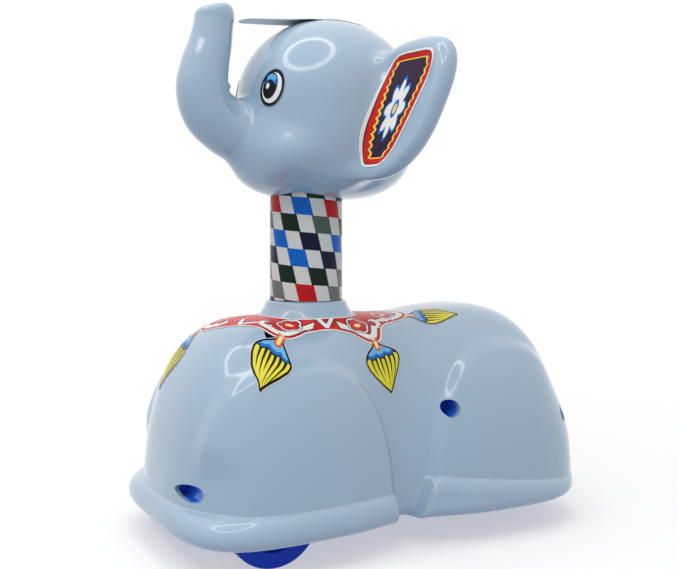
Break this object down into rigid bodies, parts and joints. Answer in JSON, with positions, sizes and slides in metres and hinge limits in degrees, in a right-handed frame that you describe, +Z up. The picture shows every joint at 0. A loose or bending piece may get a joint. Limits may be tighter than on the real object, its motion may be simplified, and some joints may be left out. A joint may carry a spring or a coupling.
{
  "type": "press and go toy",
  "caption": "Moulded toy elephant whose head is pressed down on its neck to drive the front wheels through a rack, a ratchet and gears.",
  "frame": {"origin": "on the floor under the middle of the body's length, on the middle plane", "axes": "+Z up, the elephant faces -Y, its left side is +X"},
  "size_m": [0.1368, 0.177, 0.2041],
  "materials": {
    "light_blue_plastic": "glossy moulded",
    "royal_blue_plastic": "glossy moulded",
    "white_gear_plastic": "satin moulded",
    "steel": "bright drawn",
    "printed_label": "printed gloss film"
  },
  "bodies": {
    "body": {"body_shell_left": "light_blue_plastic", "body_shell_right": "light_blue_plastic", "tie_screw_front_foot": "steel", "tie_screw_shoulder": "steel", "tie_screw_haunch": "steel", "tie_screw_tail": "steel", "screw_plug_front_foot": "royal_blue_plastic", "screw_plug_shoulder": "royal_blue_plastic", "screw_plug_haunch": "royal_blue_plastic", "screw_plug_tail": "royal_blue_plastic", "base_tray": "royal_blue_plastic", "gearbox_plate_left": "royal_blue_plastic", "gearbox_plate_right": "royal_blue_plastic", "tray_screw_front_left": "steel", "tray_screw_front_right": "steel", "tray_screw_rear_left": "steel", "tray_screw_rear_right": "steel", "gearbox_screw_front_left": "steel", "gearbox_screw_front_right": "steel", "gearbox_screw_rear_left": "steel", "gearbox_screw_rear_right": "steel", "countershaft": "steel", "return_spring": "steel", "neck_guide": "white_gear_plastic", "caparison_label": "printed_label", "tassel_label_1": "printed_label", "tassel_label_2": "printed_label", "tassel_label_3": "printed_label", "tassel_label_4": "printed_label", "tassel_label_5": "printed_label", "tassel_label_6": "printed_label"},
    "head": {"head_shell": "light_blue_plastic", "neck_tube": "light_blue_plastic", "rack": "white_gear_plastic", "neck_wrap": "printed_label", "eye_label_left": "printed_label", "eye_label_right": "printed_label", "ear_label_left": "printed_label", "ear_label_right": "printed_label", "brow_label": "printed_label"},
    "pinion": {"ratchet_pinion": "white_gear_plastic"},
    "gear": {"drive_gear": "white_gear_plastic", "pawl_upper": "royal_blue_plastic", "pawl_lower": "royal_blue_plastic"},
    "front_wheels": {"front_axle": "steel", "axle_pinion": "white_gear_plastic", "drive_wheel_left": "royal_blue_plastic", "drive_wheel_right": "royal_blue_plastic", "axle_cap_left": "white_gear_plastic", "axle_cap_right": "white_gear_plastic"},
    "rear_wheels": {"rear_axle": "steel", "rear_wheel_left": "royal_blue_plastic", "rear_wheel_right": "royal_blue_plastic"}
  },
  "joints": [
    {"name": "head_press", "type": "slide", "parent": "body", "child": "head", "axis": [0, 0, -1], "range_m": [0, 0.028], "stiffness_N_per_m": 200, "springref_m": -0.02, "deforming": ["return_spring"]},
    {"name": "pinion_turn", "type": "hinge", "parent": "body", "child": "pinion", "pos_m": [0, -0.04625, 0.04841], "axis": [1, 0, 0], "range_deg": [-270, 5]},
    {"name": "front_axle_spin", "type": "hinge", "parent": "body", "child": "front_wheels", "pos_m": [0, -0.05445, 0.018], "axis": [1, 0, 0], "continuous": true},
    {"name": "drive_gear_turn", "type": "hinge", "parent": "body", "child": "gear", "pos_m": [0, -0.04625, 0.04841], "axis": [1, 0, 0], "continuous": true},
    {"name": "rear_axle_spin", "type": "hinge", "parent": "body", "child": "rear_wheels", "pos_m": [0, 0.04905, 0.011], "axis": [1, 0, 0], "continuous": true}
  ],
  "couplings": [
    {"joint": "pinion_turn", "follows": "head_press", "rad_per_m": -166.67},
    {"joint": "drive_gear_turn", "follows": "front_axle_spin", "ratio": -0.3125}
  ]
}
